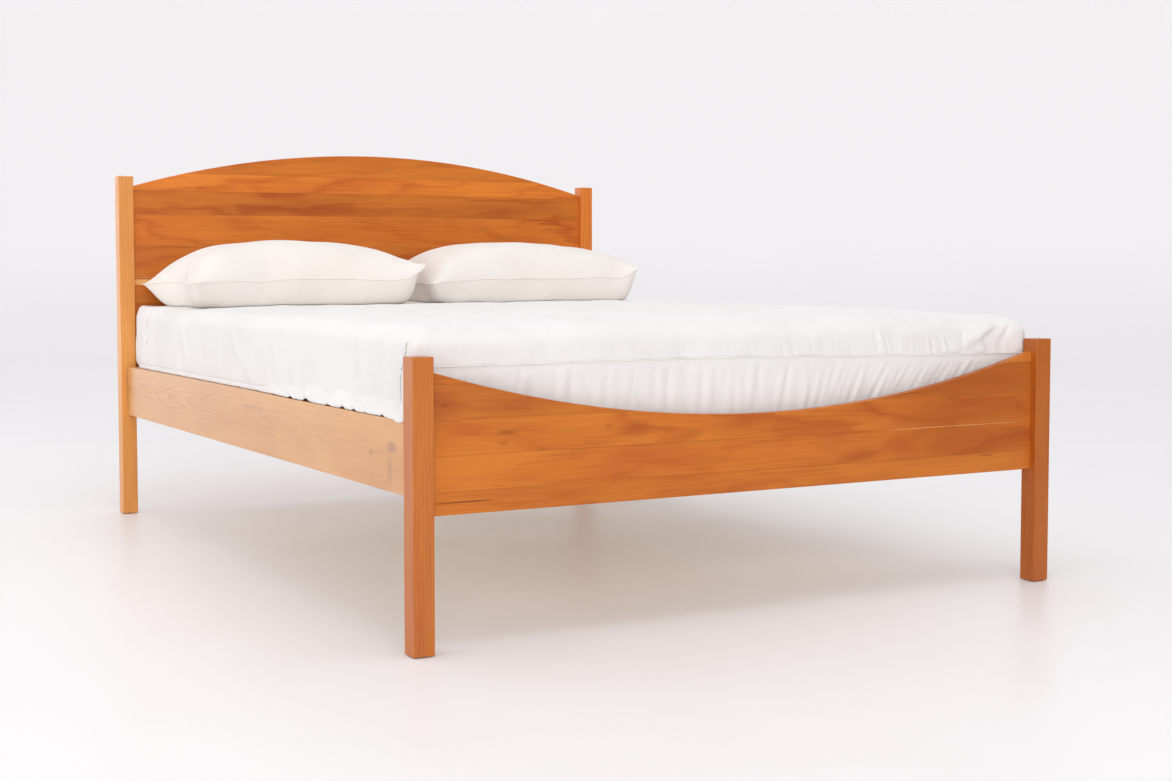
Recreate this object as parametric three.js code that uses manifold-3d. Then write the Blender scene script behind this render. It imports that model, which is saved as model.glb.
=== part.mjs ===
// A queen-size cherry bed with an arched headboard, a dipped footboard, a mattress and two pillows.
// Millimetres, +Z up. The origin is on the floor under the middle of the bed. The foot of the bed
// points along -Y and the headboard stands at +Y; X runs across the bed.

import * as THREE from 'three';
import { mergeVertices } from 'three/addons/utils/BufferGeometryUtils.js';
import Module from 'manifold-3d';

const wasm = await Module();
wasm.setup();

// ---------------------------------------------------------------- driving dimensions
const BED_WIDTH = 1638;
const BED_LENGTH = 2160;
const FIT_GAP = 0.3;
const OVERCUT = 1;
const MERGE_REACH = 1e-4;
const WOOD_EASE = 2;
const END_EASE = 1.5;
const EASE_STEPS = 2;
const HIDDEN_EASE_STEPS = 1;

const POST_SIDE = 44.5;
const HEAD_POST_TOP = 1015;
const FOOT_POST_TOP = 572;

const GLIDE_RADIUS = 14;
const GLIDE_PROUD = 2;
const GLIDE_STEM_RADIUS = 4;
const GLIDE_STEM_LENGTH = 16;
const GLIDE_HOLE_DEPTH = 19;
const GLIDE_EASE = 1;
const GLIDE_SEGMENTS = 20;

const PANEL_THICKNESS = 20;
const PANEL_BELOW_POST_TOP = 29;
const PANEL_ARC_RISE = 112;
const PANEL_ARC_SEGMENTS = 40;
const PANEL_SAWN_SPARE = 12;
const TENON_LENGTH = 16;
const TENON_THICKNESS = 12;
const TENON_SHOULDER = 5;
const TENON_ROOT = 4;

const HEADBOARD_BACK_RECESS = 11;
const HEADBOARD_BOTTOM = 300;
const HEADBOARD_GLUE_LINES = [400, 500, 606, 712, 808, 904, 975, 1028];
const FOOTBOARD_FRONT_RECESS = 17;
const FOOTBOARD_BOTTOM = 266;
const FOOTBOARD_GLUE_LINES = [311, 380, 449, 518];

const RAIL_THICKNESS = 22;
const RAIL_HEIGHT = 145;
const RAIL_BOTTOM = 300;
const RAIL_RECESS = 18;

const PLATE_WIDTH = 14;
const PLATE_HEIGHT = 120;
const PLATE_THICKNESS = 2.5;
const PLATE_TO_RAIL_CENTRE = 4;
const HOOK_THICKNESS = 4;
const HOOK_HEIGHT = 14;
const HOOK_LIP_DEPTH = 3;
const HOOK_LIP_DROP = 10;
const HOOK_SPACING = 60;
const HOOK_POCKET_DEPTH = 8.5;
const HOOK_ROOM_ABOVE = 4;

const LEDGER_WIDTH = 22;
const LEDGER_HEIGHT = 30;
const LEDGER_TOP = 340;
const LEDGER_END_GAP = 10;
const SLAT_COUNT = 14;
const SLAT_WIDTH = 70;
const SLAT_THICKNESS = 19;
const SLAT_ROW_LENGTH = 2040;
const SLAT_END_GAP = 1;

const BEAM_WIDTH = 45;
const BEAM_HEIGHT = 40;
const BEAM_END_GAP = 1;
const SADDLE_STEEL = 3;
const SADDLE_DEPTH = 40;
const SADDLE_FLANGE = 20;
const SADDLE_BELOW_BEAM_TOP = 4;
const SADDLE_FLANGE_LOW = 2;

const MATTRESS_WIDTH = 1524;
const MATTRESS_LENGTH = 2032;
const MATTRESS_HEIGHT = 254;
const MATTRESS_CORNER = 60;
const MATTRESS_EDGE = 18;
const MATTRESS_EDGE_STEPS = 3;
const MATTRESS_CORNER_STEPS = 5;
const MATTRESS_TO_FOOT_POSTS = 9.6;
const COVER_TOP_THICKNESS = 8;
const COVER_SIDE_THICKNESS = 9;
const COVER_HEM = 400;
const COVER_TRIM = 2 * MATTRESS_EDGE;

const PILLOW_WIDTH = 714;
const PILLOW_DEPTH = 470;
const PILLOW_ABOVE_SEAM = 108;
const PILLOW_BELOW_SEAM = 84;
const PILLOW_EDGE = 3;
const PILLOW_REST_GAP = 3;
const PILLOW_FULLNESS = 4;
const PILLOW_ROUNDNESS = 0.6;
const PILLOW_END_PULL = 0.05;
const PILLOW_SIDE_PULL = 0.07;
const PILLOW_UNDERSIDE_SWELL = 2 * PILLOW_BELOW_SEAM;
const PILLOW_GRID = [12, 10, 1];
const PILLOW_CENTRE_Y = 782;
const PILLOW_LEFT_X = -396;
const PILLOW_RIGHT_X = 351;

// ---------------------------------------------------------------- derived places
const LEFT = -1;
const RIGHT = 1;
const FOOT = -1;
const HEAD = 1;

const POST_X = (BED_WIDTH - POST_SIDE) / 2;
const POST_Y = (BED_LENGTH - POST_SIDE) / 2;
const POST_INNER_X = BED_WIDTH / 2 - POST_SIDE;
const POST_INNER_Y = BED_LENGTH / 2 - POST_SIDE;

const PANEL_HALF = POST_INNER_X - FIT_GAP;
const ARC_RADIUS = (POST_INNER_X ** 2 + PANEL_ARC_RISE ** 2) / (2 * PANEL_ARC_RISE);
const HEADBOARD_SHOULDER = HEAD_POST_TOP - PANEL_BELOW_POST_TOP;
const FOOTBOARD_SHOULDER = FOOT_POST_TOP - PANEL_BELOW_POST_TOP;
const HEADBOARD_Y = BED_LENGTH / 2 - HEADBOARD_BACK_RECESS - PANEL_THICKNESS / 2;
const FOOTBOARD_Y = -BED_LENGTH / 2 + FOOTBOARD_FRONT_RECESS + PANEL_THICKNESS / 2;

const RAIL_X = BED_WIDTH / 2 - RAIL_RECESS - RAIL_THICKNESS / 2;
const RAIL_INNER_X = RAIL_X - RAIL_THICKNESS / 2;
const RAIL_END_Y = POST_INNER_Y - FIT_GAP;
const PLATE_X = RAIL_X + PLATE_TO_RAIL_CENTRE;
const PLATE_Z = RAIL_BOTTOM + RAIL_HEIGHT / 2;

const LEDGER_X = RAIL_INNER_X - FIT_GAP - LEDGER_WIDTH / 2;
const SLAT_BOTTOM = LEDGER_TOP + FIT_GAP;
const SLAT_LENGTH = 2 * (RAIL_INNER_X - SLAT_END_GAP);
const MATTRESS_BOTTOM = SLAT_BOTTOM + SLAT_THICKNESS + FIT_GAP;
const MATTRESS_TOP = MATTRESS_BOTTOM + MATTRESS_HEIGHT;
const COVER_INSIDE = FIT_GAP;
const COVER_TOP = MATTRESS_TOP + COVER_INSIDE + COVER_TOP_THICKNESS;
const COVER_OUTSET = COVER_INSIDE + COVER_SIDE_THICKNESS;
const MATTRESS_Y = -POST_INNER_Y + MATTRESS_TO_FOOT_POSTS + MATTRESS_LENGTH / 2;
const PILLOW_BOTTOM = COVER_TOP + PILLOW_REST_GAP;

// ---------------------------------------------------------------- materials
const WOOD_ROUGHNESS = 0.42;
const CLOTH_ROUGHNESS = 0.92;

function matt(color, roughness) {
  return new THREE.MeshStandardMaterial({ color, roughness, metalness: 0 });
}

const wood = (colour) => matt(colour, WOOD_ROUGHNESS);
const cloth = (colour) => matt(colour, CLOTH_ROUGHNESS);

const BOARD_COLOURS = [0xb4622c, 0xc0703a, 0xaa5a28, 0xba6832];
const POST_WOOD = 0xbe6a30;
const RAIL_WOOD = 0xc67c48;
const SLAT_WOOD = 0xd9b98c;
const STEEL = new THREE.MeshStandardMaterial({ color: 0x8f9296, roughness: 0.35, metalness: 1 });
const NYLON = matt(0x3a2c24, 0.6);
const TICKING = cloth(0xf7f4ef);
const COVER_COTTON = cloth(0xf5f1ec);
const PILLOW_COTTON = cloth(0xf1e9df);

// ---------------------------------------------------------------- geometry helpers
function solidOf(geometry) {
  const bare = geometry.clone();
  bare.deleteAttribute('normal');
  bare.deleteAttribute('uv');
  const merged = mergeVertices(bare, MERGE_REACH);
  const vertProperties = new Float32Array(merged.attributes.position.array);
  const triVerts = new Uint32Array(merged.index.array);
  return new wasm.Manifold(new wasm.Mesh({ numProp: 3, vertProperties, triVerts }));
}

function geometryOf(solid) {
  const mesh = solid.getMesh();
  const geometry = new THREE.BufferGeometry();
  geometry.setAttribute('position', new THREE.BufferAttribute(mesh.vertProperties, 3));
  geometry.setIndex(new THREE.BufferAttribute(mesh.triVerts, 1));
  geometry.computeVertexNormals();
  return geometry;
}

// a box solid between two corners
function block(low, high) {
  const size = high.map((value, axis) => value - low[axis]);
  const geometry = new THREE.BoxGeometry(...size);
  geometry.translate(...low.map((value, axis) => value + size[axis] / 2));
  return solidOf(geometry);
}

// a rectangle with round corners, centred on the origin
function roundedRectangle(width, height, radius) {
  const x = width / 2;
  const y = height / 2;
  const shape = new THREE.Shape();
  shape.absarc(x - radius, y - radius, radius, 0, Math.PI / 2);
  shape.absarc(-x + radius, y - radius, radius, Math.PI / 2, Math.PI);
  shape.absarc(-x + radius, -y + radius, radius, Math.PI, 1.5 * Math.PI);
  shape.absarc(x - radius, -y + radius, radius, 1.5 * Math.PI, 2 * Math.PI);
  return shape;
}

// a shape pushed up from z = low to z = high, its end faces eased by the given radius
function easedPrism(shape, low, high, ease, steps, curveSegments) {
  const geometry = new THREE.ExtrudeGeometry(shape, {
    depth: high - low - 2 * ease,
    bevelEnabled: true,
    bevelThickness: ease,
    bevelSize: ease,
    bevelOffset: -ease,
    bevelSegments: steps,
    curveSegments,
  });
  geometry.translate(0, 0, low + ease);
  return geometry;
}

// a straight length of wood with every edge eased, standing along Z
function easedStick(width, depth, low, high, steps = EASE_STEPS) {
  const section = roundedRectangle(width, depth, WOOD_EASE);
  return easedPrism(section, low, high, END_EASE, steps, steps);
}

const bed = new THREE.Group();

function add(name, geometry, material, position = [0, 0, 0]) {
  const mesh = new THREE.Mesh(geometry, material);
  mesh.name = name;
  mesh.position.set(...position);
  bed.add(mesh);
  return mesh;
}

// ---------------------------------------------------------------- posts and glides
function panelMortise(side, end, panelY, low, high) {
  const depth = TENON_LENGTH + FIT_GAP;
  const face = -side * POST_SIDE / 2;
  const reach = face + side * depth;
  const beyond = face - side * OVERCUT;
  const half = TENON_THICKNESS / 2 + FIT_GAP;
  const y = panelY - end * POST_Y;
  return block(
    [Math.min(beyond, reach), y - half, low - FIT_GAP],
    [Math.max(beyond, reach), y + half, high + FIT_GAP],
  );
}

function railPocket(side, end) {
  const x = side * (PLATE_X - POST_X);
  const face = -end * POST_SIDE / 2;
  const plateHalf = PLATE_WIDTH / 2 + FIT_GAP;
  const plateUp = PLATE_HEIGHT / 2 + FIT_GAP;
  const plateDeep = face + end * (PLATE_THICKNESS + 2 * FIT_GAP);
  const hookHalf = HOOK_THICKNESS;
  const hookUp = HOOK_SPACING / 2 + HOOK_HEIGHT + HOOK_ROOM_ABOVE;
  const hookDeep = face + end * HOOK_POCKET_DEPTH;
  const outside = face - end * OVERCUT;
  const plate = block(
    [x - plateHalf, Math.min(outside, plateDeep), PLATE_Z - plateUp],
    [x + plateHalf, Math.max(outside, plateDeep), PLATE_Z + plateUp],
  );
  const hooks = block(
    [x - hookHalf, Math.min(outside, hookDeep), PLATE_Z - hookUp],
    [x + hookHalf, Math.max(outside, hookDeep), PLATE_Z + hookUp],
  );
  return plate.add(hooks);
}

function glideHole() {
  const radius = GLIDE_STEM_RADIUS + FIT_GAP;
  const geometry = new THREE.CylinderGeometry(radius, radius, 2 * GLIDE_HOLE_DEPTH, GLIDE_SEGMENTS);
  geometry.rotateX(Math.PI / 2);
  return solidOf(geometry);
}

function post(side, end) {
  const top = end === HEAD ? HEAD_POST_TOP : FOOT_POST_TOP;
  const panelY = end === HEAD ? HEADBOARD_Y : FOOTBOARD_Y;
  const low = end === HEAD ? HEADBOARD_BOTTOM : FOOTBOARD_BOTTOM;
  const high = end === HEAD ? HEADBOARD_SHOULDER : FOOTBOARD_SHOULDER;
  const stick = solidOf(easedStick(POST_SIDE, POST_SIDE, GLIDE_PROUD, top));
  const cut = panelMortise(side, end, panelY, low + TENON_SHOULDER, high - TENON_SHOULDER)
    .add(railPocket(side, end))
    .add(glideHole());
  return geometryOf(stick.subtract(cut));
}

// a round nylon foot pad with a stem that is pressed up into the post
function glide() {
  const pad = GLIDE_PROUD - FIT_GAP;
  const profile = [
    new THREE.Vector2(0, 0),
    new THREE.Vector2(GLIDE_RADIUS - GLIDE_EASE, 0),
    new THREE.Vector2(GLIDE_RADIUS, pad / 2),
    new THREE.Vector2(GLIDE_RADIUS - GLIDE_EASE / 2, pad),
    new THREE.Vector2(GLIDE_STEM_RADIUS, pad),
    new THREE.Vector2(GLIDE_STEM_RADIUS, pad + GLIDE_STEM_LENGTH - GLIDE_EASE),
    new THREE.Vector2(GLIDE_STEM_RADIUS - GLIDE_EASE, pad + GLIDE_STEM_LENGTH),
    new THREE.Vector2(0, pad + GLIDE_STEM_LENGTH),
  ];
  const geometry = new THREE.LatheGeometry(profile, GLIDE_SEGMENTS);
  geometry.rotateX(Math.PI / 2);
  return geometry;
}

const CORNERS = [
  ['foot_left', LEFT, FOOT],
  ['foot_right', RIGHT, FOOT],
  ['head_left', LEFT, HEAD],
  ['head_right', RIGHT, HEAD],
];
for (const [corner, side, end] of CORNERS) {
  const place = [side * POST_X, end * POST_Y, 0];
  add(`post_${corner}`, post(side, end), wood(POST_WOOD), place);
  add(`glide_${corner}`, glide(), NYLON, place);
}

// ---------------------------------------------------------------- headboard and footboard
// The face of a board panel, wider than the bed so that its sawn ends can be cut square.
// The top edge is one arc that meets the posts' inner faces at the shoulder height.
function panelFace(bottom, shoulder, rise) {
  const half = POST_INNER_X + PANEL_SAWN_SPARE;
  const centre = rise > 0 ? shoulder + rise - ARC_RADIUS : shoulder + rise + ARC_RADIUS;
  const tilt = Math.asin(half / ARC_RADIUS);
  const start = rise > 0 ? Math.PI / 2 - tilt : 1.5 * Math.PI + tilt;
  const finish = rise > 0 ? Math.PI / 2 + tilt : 1.5 * Math.PI - tilt;
  const shape = new THREE.Shape();
  shape.moveTo(-half, bottom);
  shape.lineTo(half, bottom);
  shape.absarc(0, centre, ARC_RADIUS, start, finish, rise < 0);
  return shape;
}

// the whole glued panel, standing in the XZ plane, its thickness centred on y = 0
function panelSolid(bottom, shoulder, rise) {
  const face = panelFace(bottom, shoulder, rise);
  const half = PANEL_THICKNESS / 2;
  const geometry = easedPrism(face, -half, half, WOOD_EASE, EASE_STEPS, PANEL_ARC_SEGMENTS);
  geometry.rotateX(Math.PI / 2);
  return solidOf(geometry);
}

function tenon(side, low, high) {
  const reach = side * (POST_INNER_X + TENON_LENGTH);
  const root = side * (PANEL_HALF - TENON_ROOT);
  const half = TENON_THICKNESS / 2;
  return block([Math.min(root, reach), -half, low], [Math.max(root, reach), half, high]);
}

// One board of a panel: the band between two glue lines, with a stub tenon at each end it has.
// A board with only one end stops at the middle of the bed, or sooner where the panel dips.
function board(panel, low, high, panelBottom, shoulder, sides) {
  const xLow = sides.includes(LEFT) ? -PANEL_HALF : 0;
  const xHigh = sides.includes(RIGHT) ? PANEL_HALF : 0;
  const depth = PANEL_THICKNESS;
  const seam = FIT_GAP / 2;
  const band = block([xLow, -depth, low + seam], [xHigh, depth, high - seam]);
  let solid = panel.intersect(band);
  const tenonLow = Math.max(low + seam, panelBottom + TENON_SHOULDER);
  const tenonHigh = Math.min(high - seam, shoulder - TENON_SHOULDER);
  if (tenonHigh > tenonLow) {
    for (const side of sides) {
      solid = solid.add(tenon(side, tenonLow, tenonHigh));
    }
  }
  return geometryOf(solid);
}

function addPanel(name, panelY, bottom, shoulder, rise, glueLines) {
  const panel = panelSolid(bottom, shoulder, rise);
  const lowestTop = Math.min(shoulder, shoulder + rise);
  const highestTop = Math.max(shoulder, shoulder + rise);
  const lines = [bottom - FIT_GAP, ...glueLines, highestTop + FIT_GAP];
  for (let i = 0; i < lines.length - 1; i += 1) {
    const dipped = rise < 0 && lines[i] > lowestTop;
    const parts = dipped ? [['_left', [LEFT]], ['_right', [RIGHT]]] : [['', [LEFT, RIGHT]]];
    const material = wood(BOARD_COLOURS[i % BOARD_COLOURS.length]);
    for (const [suffix, sides] of parts) {
      const geometry = board(panel, lines[i], lines[i + 1], bottom, shoulder, sides);
      add(`${name}_board_${i + 1}${suffix}`, geometry, material, [0, panelY, 0]);
    }
  }
}

addPanel('headboard', HEADBOARD_Y, HEADBOARD_BOTTOM, HEADBOARD_SHOULDER, PANEL_ARC_RISE,
  HEADBOARD_GLUE_LINES);
addPanel('footboard', FOOTBOARD_Y, FOOTBOARD_BOTTOM, FOOTBOARD_SHOULDER, -PANEL_ARC_RISE,
  FOOTBOARD_GLUE_LINES);

// ---------------------------------------------------------------- side rails and their fasteners
function rail(side) {
  const stick = easedStick(RAIL_THICKNESS, RAIL_HEIGHT, -RAIL_END_Y, RAIL_END_Y);
  stick.rotateX(-Math.PI / 2);
  stick.translate(0, 0, PLATE_Z);
  const x = side * PLATE_TO_RAIL_CENTRE;
  const half = PLATE_WIDTH / 2 + FIT_GAP;
  const up = PLATE_HEIGHT / 2 + FIT_GAP;
  const floor = RAIL_END_Y - PLATE_THICKNESS - 2 * FIT_GAP;
  const outside = RAIL_END_Y + OVERCUT;
  const headCut = block([x - half, floor, PLATE_Z - up], [x + half, outside, PLATE_Z + up]);
  const footCut = block([x - half, -outside, PLATE_Z - up], [x + half, -floor, PLATE_Z + up]);
  return geometryOf(solidOf(stick).subtract(headCut).subtract(footCut));
}

// Both plates are drawn about the face of a head post at y = 0, with +y into the post.
const HOOK_HEIGHTS = [-HOOK_SPACING / 2, HOOK_SPACING / 2];
const RAIL_PLATE_FACE = -2 * FIT_GAP;
const SLOT_PLATE_BACK = FIT_GAP + PLATE_THICKNESS;

// steel plate let into the end of a rail, with two hooks that drop behind the slotted plate
function hookPlate() {
  const half = PLATE_WIDTH / 2;
  const up = PLATE_HEIGHT / 2;
  const hookHalf = HOOK_THICKNESS / 2;
  const lipFront = SLOT_PLATE_BACK + FIT_GAP;
  const lipBack = lipFront + HOOK_LIP_DEPTH;
  let solid = block([-half, RAIL_PLATE_FACE - PLATE_THICKNESS, -up], [half, RAIL_PLATE_FACE, up]);
  for (const z of HOOK_HEIGHTS) {
    const neck = block([-hookHalf, RAIL_PLATE_FACE - OVERCUT, z], [hookHalf, lipBack, z + HOOK_HEIGHT]);
    const lip = block([-hookHalf, lipFront, z - HOOK_LIP_DROP], [hookHalf, lipBack, z + OVERCUT]);
    solid = solid.add(neck).add(lip);
  }
  return geometryOf(solid);
}

// steel plate let into the face of a post, with one slot for each hook
function slotPlate() {
  const half = PLATE_WIDTH / 2;
  const up = PLATE_HEIGHT / 2;
  const slotHalf = HOOK_THICKNESS / 2 + FIT_GAP;
  let solid = block([-half, FIT_GAP, -up], [half, SLOT_PLATE_BACK, up]);
  for (const z of HOOK_HEIGHTS) {
    const low = z - OVERCUT;
    const high = z + HOOK_HEIGHT + HOOK_LIP_DROP;
    const behind = SLOT_PLATE_BACK + OVERCUT;
    solid = solid.subtract(block([-slotHalf, -OVERCUT, low], [slotHalf, behind, high]));
  }
  return geometryOf(solid);
}

for (const [sideName, side] of [['left', LEFT], ['right', RIGHT]]) {
  add(`side_rail_${sideName}`, rail(side), wood(RAIL_WOOD), [side * RAIL_X, 0, 0]);
}
for (const [corner, side, end] of CORNERS) {
  const place = [side * PLATE_X, end * POST_INNER_Y, PLATE_Z];
  const turn = end === HEAD ? 0 : Math.PI;
  add(`rail_hook_plate_${corner}`, hookPlate(), STEEL, place).rotation.z = turn;
  add(`post_slot_plate_${corner}`, slotPlate(), STEEL, place).rotation.z = turn;
}

// ---------------------------------------------------------------- slat deck
function layAlongY(width, height, length) {
  const half = length / 2;
  const geometry = easedStick(width, height, -half, half, HIDDEN_EASE_STEPS);
  geometry.rotateX(-Math.PI / 2);
  return geometry;
}

// a slat lies across the bed, its width along Y
function slat() {
  const half = SLAT_LENGTH / 2;
  const geometry = easedStick(SLAT_THICKNESS, SLAT_WIDTH, -half, half, HIDDEN_EASE_STEPS);
  geometry.rotateY(Math.PI / 2);
  return geometry;
}

const LEDGER_LENGTH = 2 * (RAIL_END_Y - LEDGER_END_GAP);
for (const [sideName, side] of [['left', LEFT], ['right', RIGHT]]) {
  const place = [side * LEDGER_X, 0, LEDGER_TOP - LEDGER_HEIGHT / 2];
  add(`ledger_${sideName}`, layAlongY(LEDGER_WIDTH, LEDGER_HEIGHT, LEDGER_LENGTH),
    wood(SLAT_WOOD), place);
}

const SLAT_PITCH = (SLAT_ROW_LENGTH - SLAT_WIDTH) / (SLAT_COUNT - 1);
for (let i = 0; i < SLAT_COUNT; i += 1) {
  const y = -SLAT_ROW_LENGTH / 2 + SLAT_WIDTH / 2 + i * SLAT_PITCH;
  const place = [0, y, SLAT_BOTTOM + SLAT_THICKNESS / 2];
  add(`slat_${String(i + 1).padStart(2, '0')}`, slat(), wood(SLAT_WOOD), place);
}

const FOOTBOARD_BACK = FOOTBOARD_Y + PANEL_THICKNESS / 2;
const HEADBOARD_FRONT = HEADBOARD_Y - PANEL_THICKNESS / 2;
const BEAM_LENGTH = HEADBOARD_FRONT - FOOTBOARD_BACK - 2 * BEAM_END_GAP;
const BEAM_Y = (HEADBOARD_FRONT + FOOTBOARD_BACK) / 2;
const BEAM_BOTTOM = LEDGER_TOP - BEAM_HEIGHT;
add('centre_beam', layAlongY(BEAM_WIDTH, BEAM_HEIGHT, BEAM_LENGTH), wood(SLAT_WOOD),
  [0, BEAM_Y, BEAM_BOTTOM + BEAM_HEIGHT / 2]);

// a U of bent steel strip under the end of the beam, with two flanges screwed to the panel;
// drawn about the panel's face at y = 0, with +y away from the panel
function saddle() {
  const inside = BEAM_WIDTH / 2 + FIT_GAP;
  const outside = inside + SADDLE_STEEL;
  const floor = -FIT_GAP;
  const top = BEAM_HEIGHT - SADDLE_BELOW_BEAM_TOP;
  const front = FIT_GAP;
  const flange = outside + SADDLE_FLANGE;
  const cradle = block([-outside, front, floor - SADDLE_STEEL], [outside, SADDLE_DEPTH, top]);
  const wings = block([-flange, front, SADDLE_FLANGE_LOW], [flange, front + SADDLE_STEEL, top]);
  const bay = block([-inside, -OVERCUT, floor], [inside, SADDLE_DEPTH + OVERCUT, top + OVERCUT]);
  return geometryOf(cradle.add(wings).subtract(bay));
}

add('beam_saddle_foot', saddle(), STEEL, [0, FOOTBOARD_BACK, BEAM_BOTTOM]);
add('beam_saddle_head', saddle(), STEEL, [0, HEADBOARD_FRONT, BEAM_BOTTOM]).rotation.z = Math.PI;

// ---------------------------------------------------------------- mattress and its cover
function cushionBlock(outset, low, high) {
  const width = MATTRESS_WIDTH + 2 * outset;
  const length = MATTRESS_LENGTH + 2 * outset;
  const plan = roundedRectangle(width, length, MATTRESS_CORNER + outset);
  return easedPrism(plan, low, high, MATTRESS_EDGE, MATTRESS_EDGE_STEPS, MATTRESS_CORNER_STEPS);
}

// a fitted cover, open below: a thin shell over the top and down the four sides
function coverGeometry() {
  const outer = solidOf(cushionBlock(COVER_OUTSET, COVER_HEM - COVER_TRIM, COVER_TOP));
  const insideTop = COVER_TOP - COVER_TOP_THICKNESS;
  const inner = solidOf(cushionBlock(COVER_INSIDE, COVER_HEM - 2 * COVER_TRIM, insideTop));
  const reach = BED_LENGTH;
  const below = block([-reach, -reach, 0], [reach, reach, COVER_HEM]);
  return geometryOf(outer.subtract(inner).subtract(below));
}

add('mattress', cushionBlock(0, MATTRESS_BOTTOM, MATTRESS_TOP), TICKING, [0, MATTRESS_Y, 0]);
add('mattress_cover', coverGeometry(), COVER_COTTON, [0, MATTRESS_Y, 0]);

// ---------------------------------------------------------------- pillows
// A crowned pillow: a grid box whose top and bottom swell from a thin edge, whose sides pull in
// between the four corners, and whose underside is flat where it rests.
function pillow() {
  const geometry = new THREE.BoxGeometry(2, 2, 2, ...PILLOW_GRID);
  const position = geometry.attributes.position;
  for (let i = 0; i < position.count; i += 1) {
    const u = position.getX(i);
    const v = position.getY(i);
    const upper = position.getZ(i) > 0;
    const taper = (1 - u ** PILLOW_FULLNESS) * (1 - v ** PILLOW_FULLNESS);
    const swell = taper ** PILLOW_ROUNDNESS;
    const pullX = 1 - PILLOW_END_PULL * (1 - v * v);
    const pullY = 1 - PILLOW_SIDE_PULL * (1 - u * u);
    const below = -PILLOW_EDGE - PILLOW_UNDERSIDE_SWELL * swell;
    const lift = upper ? PILLOW_EDGE + PILLOW_ABOVE_SEAM * swell : below;
    position.setX(i, u * pullX * PILLOW_WIDTH / 2);
    position.setY(i, v * pullY * PILLOW_DEPTH / 2);
    position.setZ(i, Math.max(lift, -PILLOW_BELOW_SEAM));
  }
  geometry.translate(0, 0, PILLOW_BOTTOM + PILLOW_BELOW_SEAM);
  return geometry;
}

add('pillow_left', pillow(), PILLOW_COTTON, [PILLOW_LEFT_X, PILLOW_CENTRE_Y, 0]);
add('pillow_right', pillow(), PILLOW_COTTON, [PILLOW_RIGHT_X, PILLOW_CENTRE_Y, 0]);

export default bed;
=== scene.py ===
"""The looks of a queen-size cherry bed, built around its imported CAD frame. Metres, +Z up."""

import math

import bpy
import numpy as np
from mathutils import Matrix, Vector
from mathutils.bvhtree import BVHTree


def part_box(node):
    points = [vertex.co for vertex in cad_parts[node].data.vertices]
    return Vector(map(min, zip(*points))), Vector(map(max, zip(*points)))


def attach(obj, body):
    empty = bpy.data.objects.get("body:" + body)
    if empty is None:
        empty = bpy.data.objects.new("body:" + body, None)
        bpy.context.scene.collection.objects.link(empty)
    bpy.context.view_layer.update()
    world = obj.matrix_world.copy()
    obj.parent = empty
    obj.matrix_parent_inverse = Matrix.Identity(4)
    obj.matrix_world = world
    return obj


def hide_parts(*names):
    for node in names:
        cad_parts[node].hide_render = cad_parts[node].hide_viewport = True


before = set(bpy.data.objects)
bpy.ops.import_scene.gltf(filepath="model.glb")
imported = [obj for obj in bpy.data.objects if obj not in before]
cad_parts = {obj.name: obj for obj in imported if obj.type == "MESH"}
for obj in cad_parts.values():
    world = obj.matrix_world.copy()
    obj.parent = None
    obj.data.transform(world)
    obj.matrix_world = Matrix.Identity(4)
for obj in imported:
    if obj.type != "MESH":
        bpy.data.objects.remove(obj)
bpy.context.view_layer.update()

SCENE = bpy.context.scene


# ---------------------------------------------------------------- camera
EYE = (-2.092, -3.9, 0.7386)
YAW = math.radians(28.46)
PITCH = math.radians(3.171)
ROLL = math.radians(-0.092)
LENS = 50.74
SENSOR = 36.0
SHIFT = (0.0457, -0.02635)


def add_camera():
    forward = Vector((math.sin(YAW) * math.cos(PITCH), math.cos(YAW) * math.cos(PITCH), -math.sin(PITCH)))
    level = Vector((math.cos(YAW), -math.sin(YAW), 0))
    upright = level.cross(forward)
    right = level * math.cos(ROLL) + upright * math.sin(ROLL)
    up = upright * math.cos(ROLL) - level * math.sin(ROLL)
    data = bpy.data.cameras.new("camera")
    data.lens = LENS
    data.sensor_width = SENSOR
    data.shift_x, data.shift_y = SHIFT
    data.clip_end = 100
    camera = bpy.data.objects.new("camera", data)
    turn = Matrix((right, up, -forward)).transposed().to_4x4()
    camera.matrix_world = Matrix.Translation(EYE) @ turn
    SCENE.collection.objects.link(camera)
    SCENE.camera = camera


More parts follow.
